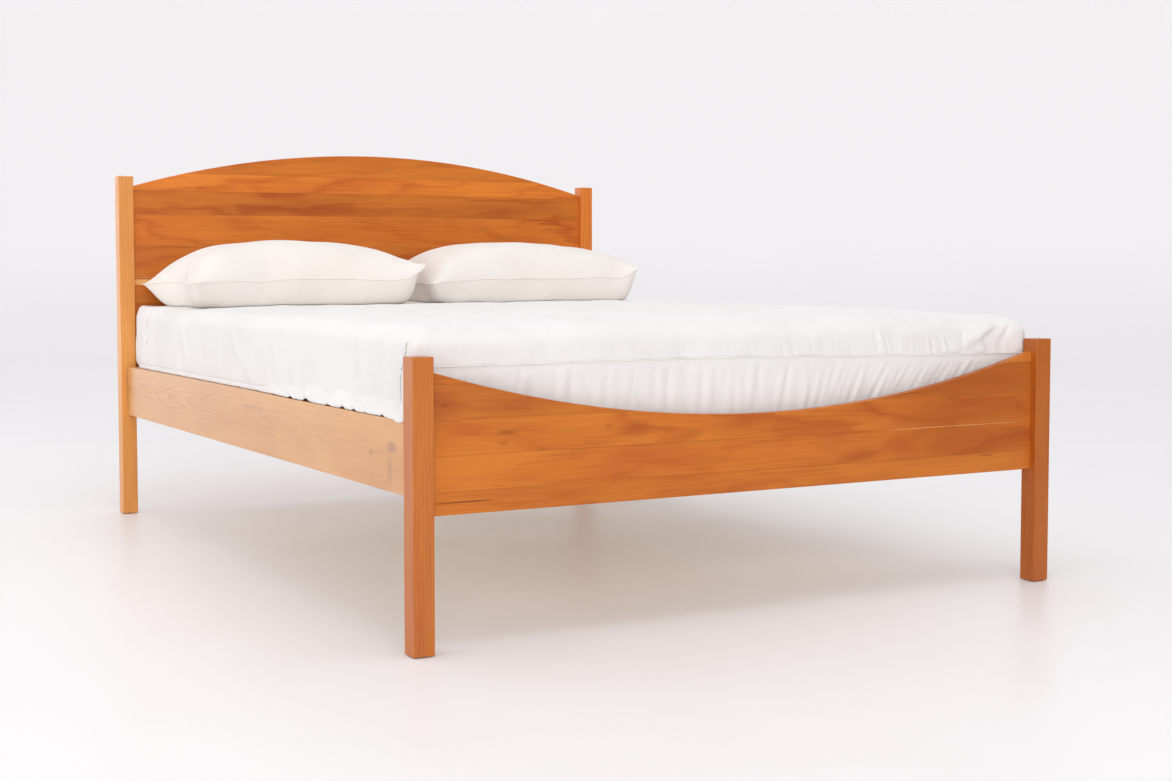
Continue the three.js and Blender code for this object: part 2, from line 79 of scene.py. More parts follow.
# ---------------------------------------------------------------- node building
class Net:
    """Short calls for building a material's node tree around its shader."""

    def __init__(self, name):
        self.material = bpy.data.materials.new(name)
        self.material.use_nodes = True
        self.tree = self.material.node_tree

    def feed(self, socket, value):
        if isinstance(value, bpy.types.NodeSocket):
            self.tree.links.new(value, socket)
        else:
            socket.default_value = value

    def fill(self, node, inputs):
        for key, value in inputs.items():
            self.feed(node.inputs[key], value)
        return node

    def add(self, kind, inputs=None, **settings):
        made = self.tree.nodes.new(kind)
        for key, value in settings.items():
            setattr(made, key, value)
        return self.fill(made, inputs or {})

    def shade(self, inputs):
        """Fills the shader's inputs and gives the finished material."""
        self.fill(self.tree.nodes["Principled BSDF"], inputs)
        return self.material

    def coords(self, kind="Object"):
        return self.add("ShaderNodeTexCoord").outputs[kind]

    def split(self, vector):
        return self.add("ShaderNodeSeparateXYZ", {0: vector}).outputs

    def math(self, operation, *values, clamp=False):
        inputs = dict(enumerate(values))
        return self.add("ShaderNodeMath", inputs, operation=operation, use_clamp=clamp).outputs[0]

    def plus(self, first, second, clamp=False):
        return self.math("ADD", first, second, clamp=clamp)

    def minus(self, first, second):
        return self.math("SUBTRACT", first, second)

    def times(self, first, second):
        return self.math("MULTIPLY", first, second)

    def length(self, first, second):
        return self.math("SQRT", self.plus(self.math("POWER", first, 2.0), self.math("POWER", second, 2.0)))

    def vector(self, operation, *values):
        return self.add("ShaderNodeVectorMath", dict(enumerate(values)), operation=operation).outputs[0]

    def mix(self, factor, first, second):
        return self.add("ShaderNodeMix", {0: factor, 6: first, 7: second}, data_type="RGBA").outputs[2]

    def noise(self, vector, scale, detail=2.0, roughness=0.5, distortion=0.0):
        inputs = {"Vector": vector, "Scale": scale, "Detail": detail, "Roughness": roughness,
                  "Distortion": distortion}
        return self.add("ShaderNodeTexNoise", inputs).outputs["Fac"]

    def band(self, value, low, high, out_low=0.0, out_high=1.0):
        inputs = {"Value": value, "From Min": low, "From Max": high, "To Min": out_low, "To Max": out_high}
        return self.add("ShaderNodeMapRange", inputs, interpolation_type="SMOOTHSTEP").outputs[0]

    def ramp(self, value, stops):
        made = self.add("ShaderNodeValToRGB", {0: value})
        elements = made.color_ramp.elements
        while len(elements) < len(stops):
            elements.new(0.5)
        for element, (place, grey) in zip(elements, stops):
            element.position = place
            element.color = (grey, grey, grey, 1)
        return made.outputs[0]

    def surface(self, colour, roughness, height, strength, distance, settings):
        """The finished material; settings are what is the same all over."""
        bump = self.add("ShaderNodeBump", {"Strength": strength, "Distance": distance, "Height": height})
        return self.shade({"Base Color": colour, "Roughness": roughness, "Normal": bump.outputs[0], **settings})


def linear(red, green, blue):
    """A colour given as 8-bit sRGB, as linear RGBA."""
    def channel(value):
        value /= 255
        return value / 12.92 if value <= 0.04045 else ((value + 0.055) / 1.055) ** 2.4
    return (channel(red), channel(green), channel(blue), 1.0)


def toned(tone, change):
    return linear(*(max(0, min(255, value * change)) for value in tone))


# ---------------------------------------------------------------- wood
AXES = {"X": (0, 2, 1), "Y": (1, 2, 0), "Z": (2, 0, 1)}  # along the grain, across it and into the board
RING = 0.0055
RING_SHADES = ((0.0, 0.15), (0.5, 0.2), (0.82, 1), (0.97, 0.25), (1.0, 0.15))
BLUSH = (168, 72, 44)
RESIN = (72, 26, 14)


def wood_material(name, grain, seed, light, dark, tilt=0.02, pith=(0.0, 0.06), marks=(), gloss=0.0,
                  contrast=1.0, wandering=0.07, gum=0.75):
    """Flat-sawn cherry: growth rings of a log whose axis leans a little out of the board.

    grain is the axis that the board runs along; pith is how far the log's centre lies across and
    below the board; marks are (along, across, half-length, half-height, tone, strength), in metres
    in the bed's own frame."""
    net = Net(name)
    split = net.split(net.coords())
    along, across, depth = (split[i] for i in AXES[grain])
    shift = np.random.default_rng(seed).uniform(-9, 9, 3)
    spot = net.add("ShaderNodeCombineXYZ", {0: along, 1: across, 2: depth}).outputs[0]
    point = net.vector("ADD", spot, tuple(shift))

    def figure(lengthwise, crosswise, *look):
        stretched = net.vector("MULTIPLY", point, (lengthwise, crosswise, crosswise))
        return net.noise(stretched, 1.0, *look)

    def sway(lengthwise, crosswise, reach):
        return net.times(net.minus(figure(lengthwise, crosswise, 2), 0.5), reach)

    # the log: distance from a wandering pith
    aside = net.minus(across, net.plus(pith[0], sway(1.5, 2.2, wandering)))
    below = net.plus(net.times(along, tilt), net.plus(depth, pith[1]))
    radius = net.plus(net.length(aside, below), sway(6.0, 24.0, 0.008))
    line = net.ramp(net.math("FRACT", net.math("DIVIDE", radius, RING)), RING_SHADES)
    cloud = figure(2.2, 9.0, 4, 0.55, 0.4)
    fibre = figure(7.0, 190.0, 3, 0.6)
    pore = figure(55.0, 900.0, 2, 0.7)

    fade = net.band(figure(1.0, 4.0, 1), 0.3, 0.7, 0.22 * contrast, 0.62 * contrast)
    weight = net.plus(net.times(line, fade), net.band(cloud, 0.3, 0.72, -0.1, 0.36))
    weight = net.plus(weight, net.band(fibre, 0.3, 0.75, -0.1, 0.22))
    weight = net.plus(weight, net.band(pore, 0.5, 0.85, 0.0, 0.22), clamp=True)
    colour = net.mix(weight, light, dark)
    colour = net.mix(net.band(figure(3.1, 6.0, 3), 0.5, 0.75, 0.0, 0.16), colour, linear(*BLUSH))
    for mark_along, mark_across, long, tall, tone, strength in marks:
        run = net.math("DIVIDE", net.minus(along, mark_along), long)
        rise = net.math("DIVIDE", net.minus(across, mark_across), tall)
        far = net.plus(net.length(run, rise), net.band(fibre, 0.3, 0.7, -0.25, 0.25))
        colour = net.mix(net.band(far, 0.25, 1.0, strength, 0.0), colour, linear(*tone))
    streak = net.band(figure(2.4, 85.0, 1, 0.4, 0.2), gum, gum + 0.035)
    streak = net.times(streak, net.band(figure(13.0, 120.0, 2), 0.42, 0.6))
    colour = net.mix(net.times(streak, 0.72), colour, linear(*RESIN))

    height = net.plus(net.times(pore, -0.5), net.times(fibre, 0.5))
    return net.surface(colour, net.band(fibre, 0.2, 0.8, 0.34, 0.46), height, 0.25, 0.0004, {
        "Specular IOR Level": 0.16 + 0.34 * gloss, "Coat Weight": 0.06 + 0.64 * gloss,
        "Coat Roughness": 0.3})


BOARD = ((206, 120, 44), (170, 80, 28))  # a light and a dark tone each
# Painted sheen: the rails' tones are painted paler and yellower than the boards' to stand in for the glare on
# their outer faces
RAIL_SHEEN_TONES = ((216, 157, 91), (194, 128, 67))
SLAT = ((222, 190, 146), (200, 164, 118))
# Painted light and shade: the head posts are painted lighter and paler, the foot posts darker, and the right
# foot post darkest and deepest in colour, where less light falls
POST_COLOURS = {"post_head_left": ((212, 146, 74), (186, 112, 50)),
                "post_foot_right": ((208, 112, 32), (172, 74, 18))}
POST_LIGHT_AND_SHADE = {"post_foot_left": 0.95, "post_foot_right": 0.88, "post_head_left": 1.06,
              "post_head_right": 1.1}
ROW_TONES = {
    "headboard": {9: 1.0, 8: 1.09, 7: 0.98, 6: 1.05, 5: 1.0, 4: 0.97, 3: 1.0, 2: 0.96, 1: 1.0},
    "footboard": {5: 1.01, 4: 0.97, 3: 1.02, 2: 1.03, 1: 1.01},
}
CONTRASTS = {"headboard_board_8": 0.7}
RED_HEART = (152, 62, 30)
SAPWOOD = (240, 186, 120)
# Painted shade: a deep dark tone laid over the right of the footboard's boards, where less light falls; it is
# not a mark in the wood
RIGHT_SIDE_SHADE = (164, 78, 22)
GUM = (96, 34, 14)
# The footboard entries near x 0.6 in the deep dark tone are painted shade across three boards
MARKS = {
    "side_rail_left": [
        (-0.836, 0.37, 0.016, 0.009, (116, 74, 72), 0.4), (-0.94, 0.389, 0.03, 0.013, (116, 74, 80), 0.45),
        (-0.93, 0.345, 0.018, 0.045, (130, 84, 80), 0.3), (-0.105, 0.405, 0.11, 0.01, (168, 112, 78), 0.4)],
    "footboard_board_3": [
        (-0.318, 0.41, 0.06, 0.017, RED_HEART, 0.45), (-0.38, 0.42, 0.016, 0.01, GUM, 0.16),
        (-0.612, 0.42, 0.028, 0.008, GUM, 0.28), (-0.62, 0.4, 0.016, 0.006, GUM, 0.25),
        (0.031, 0.3985, 0.0025, 0.0025, GUM, 0.95), (0.6, 0.415, 0.3, 0.06, RIGHT_SIDE_SHADE, 0.55)],
    "footboard_board_2": [
        (0.265, 0.327, 0.075, 0.016, RED_HEART, 0.35), (0.56, 0.3785, 0.27, 0.0015, (240, 176, 110), 0.8),
        (0.74, 0.35, 0.07, 0.03, RED_HEART, 0.35), (0.6, 0.345, 0.3, 0.06, RIGHT_SIDE_SHADE, 0.55)],
    "footboard_board_4_left": [
        (-0.76, 0.48, 0.075, 0.045, RED_HEART, 0.45), (-0.745, 0.478, 0.016, 0.007, GUM, 0.3)],
    "footboard_board_1": [(-0.707, 0.29, 0.085, 0.0022, GUM, 0.85), (0.636, 0.306, 0.03, 0.002, GUM, 0.6)],
    "footboard_board_4_right": [
        (0.6, 0.475, 0.2, 0.04, RED_HEART, 0.25), (0.62, 0.485, 0.28, 0.06, RIGHT_SIDE_SHADE, 0.5)],
    "headboard_board_7": [
        (-0.3, 0.925, 0.4, 0.02, RED_HEART, 0.3), (0.45, 0.935, 0.4, 0.025, RED_HEART, 0.3)],
    "headboard_board_8": [(-0.56, 0.985, 0.03, 0.005, GUM, 0.35)],
    "headboard_board_5": [(-0.735, 0.768, 0.16, 0.04, RED_HEART, 0.2)],
    "headboard_board_4": [(-0.735, 0.699, 0.085, 0.012, SAPWOOD, 0.85)],
    "headboard_board_6": [(0.655, 0.889, 0.055, 0.0025, GUM, 0.7)],
}


def named(*prefixes):
    """The CAD nodes whose names start so: a panel's boards come from the lowest up."""
    return sorted(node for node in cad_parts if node.startswith(prefixes))


def paint(node, material):
    """Gives a CAD node its material."""
    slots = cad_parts[node].data.materials
    slots.clear()
    slots.append(material)


def paint_cherry(node, grain, seed, tones, lifts=(1.0, 1.0), **look):
    light, dark = (toned(tone, lift) for tone, lift in zip(tones, lifts))
    paint(node, wood_material(f"cherry_{node}", grain, seed, light, dark, marks=MARKS.get(node, ()), **look))


def dress_wood():
    for i, (node, change) in enumerate(POST_LIGHT_AND_SHADE.items()):
        paint_cherry(node, "Z", 40 + i, POST_COLOURS.get(node, BOARD), (change, 1.04 * change), tilt=0.012,
                     pith=(0.03, 0.09), gloss=0.4, contrast=0.6)
    for panel, start, lift in (("headboard", 100, 1.01), ("footboard", 200, 0.98)):
        for node in named(panel + "_board"):
            row = int(node.split("_board_")[1].split("_")[0])
            rng = np.random.default_rng(start + row)
            change = ROW_TONES[panel][row] * lift
            middle = sum(corner.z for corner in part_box(node)) / 2
            aside = rng.choice((-1, 1)) * rng.uniform(0.05, 0.11)
            paint_cherry(node, "X", start + row, BOARD, (change, change), tilt=rng.uniform(-0.02, 0.02),
                         pith=(middle + aside, rng.uniform(0.03, 0.07)), gloss=0.09,
                         contrast=CONTRASTS.get(node, 1.0))
    for i, node in enumerate(("side_rail_left", "side_rail_right", "ledger_left", "ledger_right")):
        low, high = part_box(node)
        centre = (low + high) / 2
        paint_cherry(node, "Y", 300 + i, RAIL_SHEEN_TONES, tilt=0.035, pith=(centre.z + 0.01, 0.05 - centre.x),
                     gloss=0.9, wandering=0.12)


def slat_material(name, grain, seed):
    """Planed poplar for the slats and the beam: pale, straight and unpolished."""
    light, dark = (linear(*tone) for tone in SLAT)
    return wood_material(name, grain, seed, light, dark, tilt=0.01, pith=(0.2, 0.3), contrast=0.6, gum=0.9)


def steel_material():
    """Zinc-plated steel plate: metallic, with a cloudy plated finish and fine rolling lines."""
    net = Net("plated_steel")
    place = net.coords()
    cloud = net.noise(place, 60.0, 4, 0.6)
    lines = net.noise(net.vector("MULTIPLY", place, (600.0, 600.0, 25.0)), 1.0, 2)
    colour = net.mix(cloud, linear(176, 178, 182), linear(204, 205, 206))
    return net.surface(colour, net.band(cloud, 0.3, 0.7, 0.28, 0.44), lines, 0.15, 0.0002, {"Metallic": 1.0})


def nylon_material():
    """Moulded brown nylon with a fine spark-eroded grain."""
    net = Net("glide_nylon")
    place = net.coords()
    grain = net.noise(place, 1400.0, 2)
    colour = net.mix(net.noise(place, 40.0, 2), linear(74, 58, 48), linear(88, 70, 58))
    return net.surface(colour, net.band(grain, 0.3, 0.7, 0.45, 0.6), grain, 0.3, 0.0002, {})


def dress_hidden():
    """The parts below the mattress and inside the joints."""
    poplar = [slat_material(f"poplar_{i}", "X", 400 + i) for i in range(4)]
    for i, node in enumerate(named("slat_")):
        paint(node, poplar[i % len(poplar)])
    paint("centre_beam", slat_material("poplar_beam", "Y", 410))
    steel, nylon = steel_material(), nylon_material()
    for node in named("rail_hook_plate", "post_slot_plate", "beam_saddle"):
        paint(node, steel)
    for node in named("glide_"):
        paint(node, nylon)


# ---------------------------------------------------------------- cloth
COTTON_STEP = 0.0007
TINY = 1e-9


def ripples(places, seed, wave, count=9):
    """Smooth random heights of about -1 to 1 over the places; wave is their length in metres."""
    rng = np.random.default_rng(seed)
    total = np.zeros(len(places))
    for _ in range(count):
        heading = rng.normal(size=3)
        heading *= 2 * math.pi / (wave * rng.uniform(0.7, 1.5)) / np.linalg.norm(heading)
        total += np.sin(places @ heading + rng.uniform(0, 2 * math.pi))
    return total / math.sqrt(count)


def ease(value, low, high):
    """A smooth step: 0 up to low, 1 from high on."""
    share = np.clip((value - low) / (high - low), 0, 1)
    return share * share * (3 - 2 * share)


def running(steps):
    """The running total of steps, from 0."""
    return np.concatenate(([0], np.cumsum(steps)))


def push(places, ways, amounts):
    """Moves places, each along its own way by its own amount."""
    places += ways * amounts[:, None]


def box_of(node):
    return [np.array(corner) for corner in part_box(node)]


def add_mesh(name, places, faces, flat=None):
    """A smooth mesh. flat is where each place lies in the cloth before it is sewn."""
    data = bpy.data.meshes.new(name)
    data.from_pydata([tuple(place) for place in places], [], faces)
    data.shade_smooth()
    if flat is not None:
        layer = data.uv_layers.new(name="cloth")
        corners = np.empty(len(data.loops), dtype=np.int32)
        data.loops.foreach_get("vertex_index", corners)
        layer.data.foreach_set("uv", np.asarray(flat)[corners].astype(np.float32).ravel())
    piece = bpy.data.objects.new(name, data)
    SCENE.collection.objects.link(piece)
    return piece


def grid_faces(rows, columns, closed=False, turned=False):
    faces = []
    for i in range(rows - 1):
        for j in range(columns if closed else columns - 1):
            after = (j + 1) % columns
            face = (i * columns + j, i * columns + after, (i + 1) * columns + after, (i + 1) * columns + j)
            faces.append(face[::-1] if turned else face)
    return faces


def rim_of(across, along):
    """The steps round a rectangle's rim, as (across, along)."""
    return ([(i, 0) for i in range(across)] + [(across, j) for j in range(along)]
            + [(i, along) for i in range(across, 0, -1)] + [(0, j) for j in range(along, 0, -1)])


def mesh_places(mesh):
    flat = np.empty(len(mesh.vertices) * 3, dtype=np.float32)
    mesh.vertices.foreach_get("co", flat)
    return flat.reshape(-1, 3).astype(float)


def places_of(piece):
    return mesh_places(piece.data)


def set_places(piece, places):
    piece.data.vertices.foreach_set("co", places.astype(np.float32).ravel())
    piece.data.update()


def settle(piece, hold, frames, stretch, bend, rest=None, gravity=0.0, **settings):
    """Runs the piece as cloth and leaves it in the shape it takes.

    hold says how firmly each place stays where it is, 0 to 1; rest is the cut cloth's own shape."""
    group = piece.vertex_groups.new(name="hold")
    for index, weight in enumerate(hold):
        group.add([index], float(weight), "REPLACE")
    cloth = piece.modifiers.new("cloth", "CLOTH")
    setting = cloth.settings
    if rest is not None:
        piece.shape_key_add(name="sewn")
        cut = piece.shape_key_add(name="cut")
        cut.data.foreach_set("co", rest.astype(np.float32).ravel())
        setting.rest_shape_key = cut
    setting.tension_stiffness = setting.compression_stiffness = stretch
    setting.shear_stiffness = stretch / 3
    setting.bending_stiffness = bend
    setting.vertex_group_mass = "hold"
    setting.effector_weights.gravity = gravity
    for name, value in settings.items():
        setattr(setting, name, value)
    cloth.collision_settings.use_collision = False
    for frame_number in range(1, frames + 1):
        SCENE.frame_set(frame_number)
    shaped = mesh_places(piece.evaluated_get(bpy.context.evaluated_depsgraph_get()).to_mesh())
    piece.modifiers.remove(cloth)
    if rest is not None:
        piece.shape_key_clear()
    piece.vertex_groups.remove(group)
    set_places(piece, shaped)
    SCENE.frame_set(1)


def hold_within(places, start, limit):
    """Keeps each place within a distance of where it started, as the layers around it do."""
    moved = places - start
    size = np.maximum(np.linalg.norm(moved, axis=1), TINY)
    return start + moved * (limit * np.tanh(size / limit) / size)[:, None]


def held_rim(rows, columns, loose):
    """How firmly a strip is held: fast along its first row and both ends, loose elsewhere."""
    hold = np.full((rows, columns), loose)
    hold[0] = hold[:, 0] = hold[:, -1] = 1
    return hold


def soften(piece):
    """Subdivides a mesh for good, so that later seams and folds find a fine surface."""
    fine = piece.modifiers.new("fine", "SUBSURF")
    fine.levels = fine.render_levels = 1
    with bpy.context.temp_override(object=piece, active_object=piece):
        bpy.ops.object.modifier_apply(modifier=fine.name)
    piece.data.shade_smooth()


def relaxed(piece, places, fixed, rounds):
    """The places after smoothing over the mesh's edges, with some of them fixed."""
    edges = np.empty(len(piece.data.edges) * 2, dtype=np.int32)
    piece.data.edges.foreach_get("vertices", edges)
    first, second = edges.reshape(-1, 2).T
    count = np.bincount(edges, minlength=len(places))[:, None]
    smooth = places.copy()
    for _ in range(rounds):
        total = np.zeros_like(smooth)
        np.add.at(total, first, smooth[second])
        np.add.at(total, second, smooth[first])
        smooth = 0.5 * smooth + 0.5 * total / count
        smooth[fixed] = places[fixed]
    return smooth


def tube(path, radius, sides=8, closed=False):
    """A thin bead along a path, such as a piped seam or a stitch."""
    path = np.asarray(path, dtype=float)
    count = len(path)
    ahead = np.roll(path, -1, axis=0) - np.roll(path, 1, axis=0)
    if not closed:
        ahead[0] = path[1] - path[0]
        ahead[-1] = path[-1] - path[-2]
    ahead /= np.linalg.norm(ahead, axis=1)[:, None]
    upright = np.array((0.0, 0.0, 1.0)) if abs(ahead[:, 2]).max() < 0.95 else np.array((0.3, 1.0, 0.2))
    side = np.cross(ahead, upright)
    side /= np.linalg.norm(side, axis=1)[:, None]
    over = np.cross(side, ahead)
    turns = [2 * math.pi * k / sides for k in range(sides)]
    places = [centre + radius * (math.cos(turn) * across + math.sin(turn) * above)
              for centre, across, above in zip(path, side, over) for turn in turns]
    faces = grid_faces(count, sides, closed=True)
    last = (count - 1) * sides
    if closed:
        faces += [(last + k, last + (k + 1) % sides, (k + 1) % sides, k) for k in range(sides)]
    else:
        faces += [tuple(range(sides - 1, -1, -1)), tuple(range(last, last + sides))]
    return places, faces


def merge(name, parts):
    """One mesh of several closed bodies, each given as its places and faces."""
    places, faces = [], []
    for some_places, some_faces in parts:
        start = len(places)
        places += list(some_places)
        faces += [tuple(start + corner for corner in face) for face in some_faces]
    return add_mesh(name, places, faces)


def cotton_material(name, tone, shade, crease=0.0):
    """Plain-woven cotton: crossing threads, thicker slubs, a soft sheen and creases."""
    net = Net(name)
    lay, place = net.coords("UV"), net.coords()
    across, along, _ = net.split(lay)
    warp, weft = (net.math("SINE", net.times(way, math.pi / COTTON_STEP)) for way in (across, along))
    threads = net.times(warp, weft)
    slubs = [net.noise(net.vector("MULTIPLY", lay, stretch), 1.0, 2)
             for stretch in ((900.0, 25.0, 1.0), (25.0, 900.0, 1.0))]
    slub = net.plus(*slubs)
    cloud = net.noise(place, 5.0, 3)
    rumple = net.noise(place, 26.0, 4, 0.6, 0.6)
    weight = net.plus(net.band(slub, 0.8, 1.3, 0.0, 0.35), net.band(cloud, 0.35, 0.7, 0.0, 0.3))
    # Painted shade: the weave's low points are painted a little darker, between the threads
    weight = net.plus(weight, net.band(threads, -1.0, 1.0, 0.12, 0.0), clamp=True)
    height = net.plus(net.times(threads, 0.1), net.times(slub, 0.25))
    height = net.plus(height, net.times(rumple, 2.0 * crease))
    colour, roughness = net.mix(weight, linear(*tone), linear(*shade)), net.band(slub, 0.8, 1.3, 0.82, 0.95)
    return net.surface(colour, roughness, height, 0.6, 0.0015, {
        "Specular IOR Level": 0.25, "Sheen Weight": 0.35, "Sheen Roughness": 0.45})


# ---------------------------------------------------------------- mattress and its cover
COVER_LOW, COVER_HIGH = box_of("mattress_cover")
MIDDLE = (COVER_LOW + COVER_HIGH) / 2
HALF = (COVER_HIGH - COVER_LOW) / 2 - np.array((0.0, 0.009, 0.0))
COVER_CELL = (0.009, 0.016, 0.011)
COVER_THICK = 0.004
CORNER = 0.026
HEM_Z = COVER_LOW[2] + 0.003
RAIL_TOP = max(corner.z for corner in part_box("side_rail_left"))
ENDS = {"foot": -1, "head": 1}  # which way each end faces


def rounded(places, half, top, corner, edge, bottom=None):
    """Rounds a sharp block's surface: its upright corners in plan, then its top (and bottom) edges."""
    plan, z = places[:, :2], places[:, 2]
    core = np.clip(plan, -(half[:2] - corner), half[:2] - corner)
    out = plan - core
    reach = abs(out).max(axis=1)
    length = np.linalg.norm(out, axis=1)
    gap = half[:2] - abs(plan)
    nearest = np.where((gap[:, 0] < gap[:, 1])[:, None], (1, 0), (0, 1)) * np.sign(plan)
    heading = np.where((length > TINY)[:, None], out / np.maximum(length, TINY)[:, None], nearest)
    inside = np.maximum(gap.min(axis=1), 0)
    depth = top - z
    run = np.where(depth > TINY, depth, -inside)
    turn = np.clip((run + edge) / (2 * edge), 0, 1) * math.pi / 2
    inward = np.where(run < -edge, inside, edge * (1 - np.sin(turn)))
    drop = np.where(run < -edge, 0, np.where(run > edge, depth, edge * (1 - np.cos(turn))))
    if bottom is not None:
        past = np.where(z - bottom < TINY, inside, bottom - z)
        back = np.clip((past + edge) / (2 * edge), 0, 1) * math.pi / 2
        under = past > -edge
        inward = np.where(under, np.where(past > edge, inside, edge * (1 - np.cos(back))), inward)
        drop = np.where(under, (top - bottom) - np.where(past > edge, 0, edge * (1 - np.sin(back))), drop)
    return np.column_stack((core + heading * (reach - inward + inside)[:, None], top - drop))


def block_grid(half, top, bottom, steps, closed):
    """A block's top, walls and perhaps bottom in quads, and where each place is in the cut cloth."""
    sizes = (2 * half[0], 2 * half[1], top - bottom)
    columns, rows, levels = (max(2, round(size / step)) for size, step in zip(sizes, steps))
    xs, ys = np.linspace(-half[0], half[0], columns + 1), np.linspace(-half[1], half[1], rows + 1)
    zs = np.linspace(top, bottom, levels + 1)
    index, places, flat = {}, [], []

    def corner(i, j, k):
        if (i, j, k) not in index:
            index[i, j, k] = len(places)
            places.append((xs[i], ys[j], zs[k]))
            drop = top - zs[k]
            flat.append((xs[i] + drop * (i == columns) - drop * (i == 0),
                         ys[j] + drop * (j == rows) - drop * (j == 0)))
        return index[i, j, k]

    cells = [(i, j) for i in range(columns) for j in range(rows)]
    faces = [tuple(corner(i + a, j + b, 0) for a, b in ((0, 0), (1, 0), (1, 1), (0, 1))) for i, j in cells]
    rim = rim_of(columns, rows)
    for here, after in zip(rim, rim[1:] + rim[:1]):
        for k in range(levels):
            faces.append((corner(*here, k), corner(*here, k + 1), corner(*after, k + 1), corner(*after, k)))
    if closed:
        faces += [tuple(corner(i + a, j + b, levels) for a, b in ((0, 1), (1, 1), (1, 0), (0, 0)))
                  for i, j in cells]
    return np.array(places), faces, np.array(flat)


def top_swell(x, y):
    """How far the quilted top stands above the plain block: a low crown, fuller on the right."""
    wide, long = x / HALF[0], y / HALF[1]
    crown = (1 - abs(wide) ** 4) * (1 - abs(long) ** 6)
    side = 0.5 + 0.5 * wide
    foot_fall = ease(-y, 0.55, 1.05)
    spots = np.column_stack((x, y, np.zeros_like(x)))
    puff = 0.0022 * ripples(spots, 11, 0.34) + 0.0012 * ripples(spots, 12, 0.13)
    return 0.004 + 0.005 * crown + 0.008 * side - 0.01 * foot_fall * side + puff


SIDE_FOLDS = [  # soft folds of the left side: start (y, z), end (y, z), height and half-width
    ((0.101, 0.582), (0.05, 0.522), 0.0045, 0.013),
    ((0.056, 0.53), (-0.062, 0.466), 0.004, 0.014),
    ((-0.716, 0.568), (-0.709, 0.508), -0.0035, 0.006),
    ((-0.9, 0.596), (-0.815, 0.495), 0.0055, 0.015),
    ((0.56, 0.59), (0.47, 0.48), 0.0025, 0.022),
    ((-0.42, 0.575), (-0.33, 0.47), 0.0025, 0.022),
    ((0.76, 0.612), (0.56, 0.618), 0.006, 0.012),
]
FOOT_FOLDS = [  # and of the foot's band, where the corner pulls it: start (x, z), end (x, z)
    ((0.706, 0.613), (0.588, 0.556), 0.0062, 0.015),
    ((0.722, 0.606), (0.64, 0.562), -0.0042, 0.01),
    ((0.737, 0.61), (0.716, 0.566), -0.0045, 0.005),
    ((0.593, 0.598), (0.597, 0.556), -0.003, 0.006),
    ((0.33, 0.606), (0.345, 0.556), -0.0024, 0.007),
    ((0.345, 0.6), (0.362, 0.556), 0.0024, 0.007),
    ((-0.3, 0.6), (-0.29, 0.556), -0.0012, 0.008),
]
FOLD_GAIN = 1.15


def fold_height(folds, along, z, curve):
    """The height of soft folds at points of a wall; curve is how far a fold bows out of its line."""
    total = np.zeros(len(along))
    for start, end, height, width in folds:
        run = np.array(end) - start
        point = np.column_stack((along, z)) - start
        share = np.clip(point @ run / (run @ run), 0, 1)
        bow = curve * np.sin(math.pi * share)
        away = np.linalg.norm(point - share[:, None] * run + np.column_stack((bow, bow * 0)), axis=1)
        fade = ease(share, 0.0, 0.4) * (1 - 0.7 * ease(share, 0.75, 1.0))
        total += FOLD_GAIN * height * fade * np.exp(-(away / width) ** 2)
    return total


SEAM_Z = 0.548
FOOT_SEAM_FALL = 0.011
SEAMS = {  # the corner seams of the two long sides, from the top edge down: (distance from the end, z)
    "foot": [(0.028, 0.606), (0.034, 0.588), (0.041, 0.572), (0.055, 0.557), (0.069, 0.541),
             (0.077, 0.522), (0.075, 0.48), (0.068, 0.45)],
    "head": [(0.156, 0.599), (0.137, 0.577), (0.122, 0.555), (0.119, 0.539), (0.128, 0.512),
             (0.13, 0.486), (0.15, 0.462), (0.181, 0.446)],
}
GROOVE, PUFF = 0.0034, 0.0024  # how deep a corner seam sinks, and how far its two sides stand


def seam_distance(end, z):
    """How far a corner seam is from the cover's end at a height."""
    points = np.array(SEAMS[end])[::-1]
    return np.interp(z, points[:, 1], points[:, 0])


def seam_height(x, end):
    """The height of an end's seam: the foot's falls a little towards the right."""
    fall = FOOT_SEAM_FALL if end == "foot" else 0.0
    return SEAM_Z - fall * ease(x, -0.15, 0.68)


def wall_share(places):
    """1 on the walls, 0 on the flat of the top."""
    return ease(COVER_HIGH[2] - places[:, 2], 0.004, 0.03)


def outward_of(places):
    """The level direction out of the cover's plan at each place."""
    plan, flat = places[:, :2] - MIDDLE[:2], HALF[:2] - CORNER
    out = plan - np.clip(plan, -flat, flat)
    length = np.maximum(np.linalg.norm(out, axis=1), 1e-6)
    return np.column_stack((out / length[:, None], np.zeros(len(places))))


def ruffled(y):
    """1 in the foot half, where the hem is a full ruffle; 0 in the head half, where it lies close."""
    return ease(-y, 0.05, 0.45)


def swell_walls(places):
    """Puffs the long sides out over the rails, and the four corners out into soft ears."""
    x, y, z = places.T
    across, along = x - MIDDLE[0], y - MIDDLE[1]
    wide, long = abs(across) / HALF[0], abs(along) / HALF[1]
    above_rail = ease(z, RAIL_TOP + 0.001, RAIL_TOP + 0.012 + 0.014 * ruffled(y))
    side = ease(wide, 0.9, 1.0) * above_rail * (1 - 0.7 * ease(z, 0.59, 0.625))
    ear = ease(wide, 0.92, 1.0) * ease(long, 0.9, 1.0) * above_rail
    x += np.sign(across) * (0.0125 * side + np.where(along < 0, 0.013, -0.007) * ear)
    y += np.where(along < 0, -0.006, 0.03) * ear
    rear = ease(along / HALF[1], 0.93, 1.0) * ease(wide, 0.9, 1.0)
    z += 0.006 * rear * ease(z, 0.57, 0.612)
    return places


